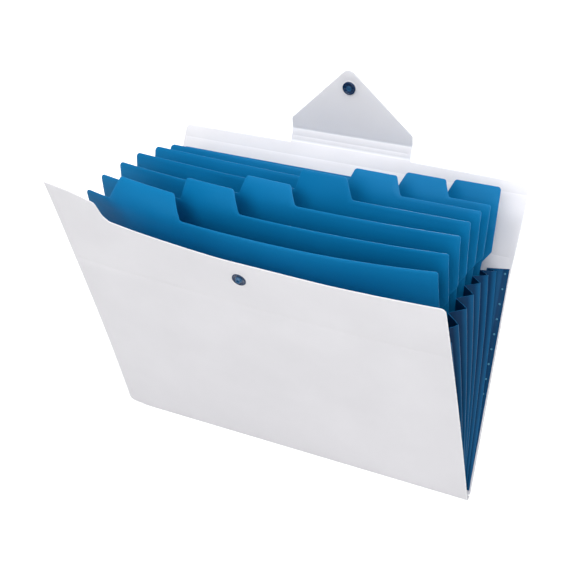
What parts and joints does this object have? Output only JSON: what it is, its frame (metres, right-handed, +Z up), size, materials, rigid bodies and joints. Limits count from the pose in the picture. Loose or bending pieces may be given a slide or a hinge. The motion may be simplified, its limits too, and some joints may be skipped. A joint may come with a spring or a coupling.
{
  "type": "accordion file folder",
  "caption": "Open expanding file with a creased cover, tabbed dividers fanned between pleated side gussets, and a pointed snap flap.",
  "frame": {"origin": "middle of the spine's underside, where the file stands on its surface", "axes": "+X along the spine towards the end without the raised ear, +Y towards the rear cover and flap, +Z up"},
  "size_m": [0.33, 0.2244, 0.3184],
  "materials": {
    "cover_sheet": "pearl white polypropylene sheet, satin with a fine grain",
    "divider_sheet": "saturated blue polypropylene sheet, satin",
    "gusset_sheet": "thin blue polypropylene film, glossy and slightly see-through",
    "snap": "dark navy moulded plastic, semi-gloss"
  },
  "bodies": {
    "spine": {"bottom_spine": "cover_sheet"},
    "front_cover": {"front_cover": "cover_sheet", "cover_snap_stud": "snap", "cover_snap_post": "snap", "gusset_left_front_flange": "gusset_sheet", "gusset_right_front_flange": "gusset_sheet"},
    "divider_1": {"divider_1": "divider_sheet", "gusset_left_pleat_1": "gusset_sheet", "gusset_right_pleat_1": "gusset_sheet"},
    "divider_2": {"divider_2": "divider_sheet", "gusset_left_pleat_2": "gusset_sheet", "gusset_right_pleat_2": "gusset_sheet"},
    "divider_3": {"divider_3": "divider_sheet", "gusset_left_pleat_3": "gusset_sheet", "gusset_right_pleat_3": "gusset_sheet"},
    "divider_4": {"divider_4": "divider_sheet", "gusset_left_pleat_4": "gusset_sheet", "gusset_right_pleat_4": "gusset_sheet"},
    "divider_5": {"divider_5": "divider_sheet", "gusset_left_pleat_5": "gusset_sheet", "gusset_right_pleat_5": "gusset_sheet"},
    "divider_6": {"divider_6": "divider_sheet", "gusset_left_pleat_6": "gusset_sheet", "gusset_right_pleat_6": "gusset_sheet"},
    "divider_7": {"divider_7": "divider_sheet", "gusset_left_pleat_7": "gusset_sheet", "gusset_right_pleat_7": "gusset_sheet"},
    "rear_cover": {"rear_cover": "cover_sheet", "gusset_left_rear_flange": "gusset_sheet", "gusset_right_rear_flange": "gusset_sheet", "gusset_left_pleat_8": "gusset_sheet", "gusset_right_pleat_8": "gusset_sheet"},
    "closing_strip": {"closing_strip": "cover_sheet"},
    "closing_flap": {"closing_flap": "cover_sheet", "flap_snap_cap": "snap", "flap_snap_socket": "snap"}
  },
  "joints": [
    {"name": "front_cover_fold", "type": "hinge", "parent": "spine", "child": "front_cover", "pos_m": [0, -0.00375, 0.00035], "axis": [-1, 0, 0], "range_deg": [0, 24.7], "deforming": ["gusset_left_pleat_1", "gusset_left_pleat_2", "gusset_left_pleat_3", "gusset_left_pleat_4", "gusset_left_pleat_5", "gusset_left_pleat_6", "gusset_left_pleat_7", "gusset_left_pleat_8", "gusset_right_pleat_1", "gusset_right_pleat_2", "gusset_right_pleat_3", "gusset_right_pleat_4", "gusset_right_pleat_5", "gusset_right_pleat_6", "gusset_right_pleat_7", "gusset_right_pleat_8"]},
    {"name": "rear_cover_fold", "type": "hinge", "parent": "spine", "child": "rear_cover", "pos_m": [0, 0.00375, 0.00035], "axis": [1, 0, 0], "range_deg": [0, 22.1]},
    {"name": "divider_1_fold", "type": "hinge", "parent": "spine", "child": "divider_1", "pos_m": [0, -0.0019, 0.00035], "axis": [1, 0, 0], "range_deg": [-19.5, 0]},
    {"name": "divider_2_fold", "type": "hinge", "parent": "spine", "child": "divider_2", "pos_m": [0, -0.00111, 0.00035], "axis": [1, 0, 0], "range_deg": [-14.4, 0]},
    {"name": "divider_3_fold", "type": "hinge", "parent": "spine", "child": "divider_3", "pos_m": [0, -0.00033, 0.00035], "axis": [1, 0, 0], "range_deg": [-8.5, 0]},
    {"name": "divider_4_fold", "type": "hinge", "parent": "spine", "child": "divider_4", "pos_m": [0, 0.00046, 0.00035], "axis": [1, 0, 0], "range_deg": [-2.8, 0]},
    {"name": "divider_5_fold", "type": "hinge", "parent": "spine", "child": "divider_5", "pos_m": [0, 0.00124, 0.00035], "axis": [1, 0, 0], "range_deg": [0, 3.7]},
    {"name": "divider_6_fold", "type": "hinge", "parent": "spine", "child": "divider_6", "pos_m": [0, 0.00203, 0.00035], "axis": [1, 0, 0], "range_deg": [0, 9.5]},
    {"name": "divider_7_fold", "type": "hinge", "parent": "spine", "child": "divider_7", "pos_m": [0, 0.00281, 0.00035], "axis": [1, 0, 0], "range_deg": [0, 15.4]},
    {"name": "closing_strip_fold", "type": "hinge", "parent": "rear_cover", "child": "closing_strip", "pos_m": [0, 0.10383, 0.24681], "axis": [1, 0, 0], "range_deg": [-100, 82.9]},
    {"name": "closing_flap_fold", "type": "hinge", "parent": "closing_strip", "child": "closing_flap", "pos_m": [0, 0.10667, 0.25743], "axis": [1, 0, 0], "range_deg": [-27, 63]}
  ],
  "couplings": [
    {"joint": "rear_cover_fold", "follows": "front_cover_fold", "ratio": 0.89474},
    {"joint": "divider_1_fold", "follows": "front_cover_fold", "ratio": -0.78947},
    {"joint": "divider_2_fold", "follows": "front_cover_fold", "ratio": -0.583},
    {"joint": "divider_3_fold", "follows": "front_cover_fold", "ratio": -0.34413},
    {"joint": "divider_4_fold", "follows": "front_cover_fold", "ratio": -0.11336},
    {"joint": "divider_5_fold", "follows": "front_cover_fold", "ratio": 0.1498},
    {"joint": "divider_6_fold", "follows": "front_cover_fold", "ratio": 0.38461},
    {"joint": "divider_7_fold", "follows": "front_cover_fold", "ratio": 0.62348}
  ]
}
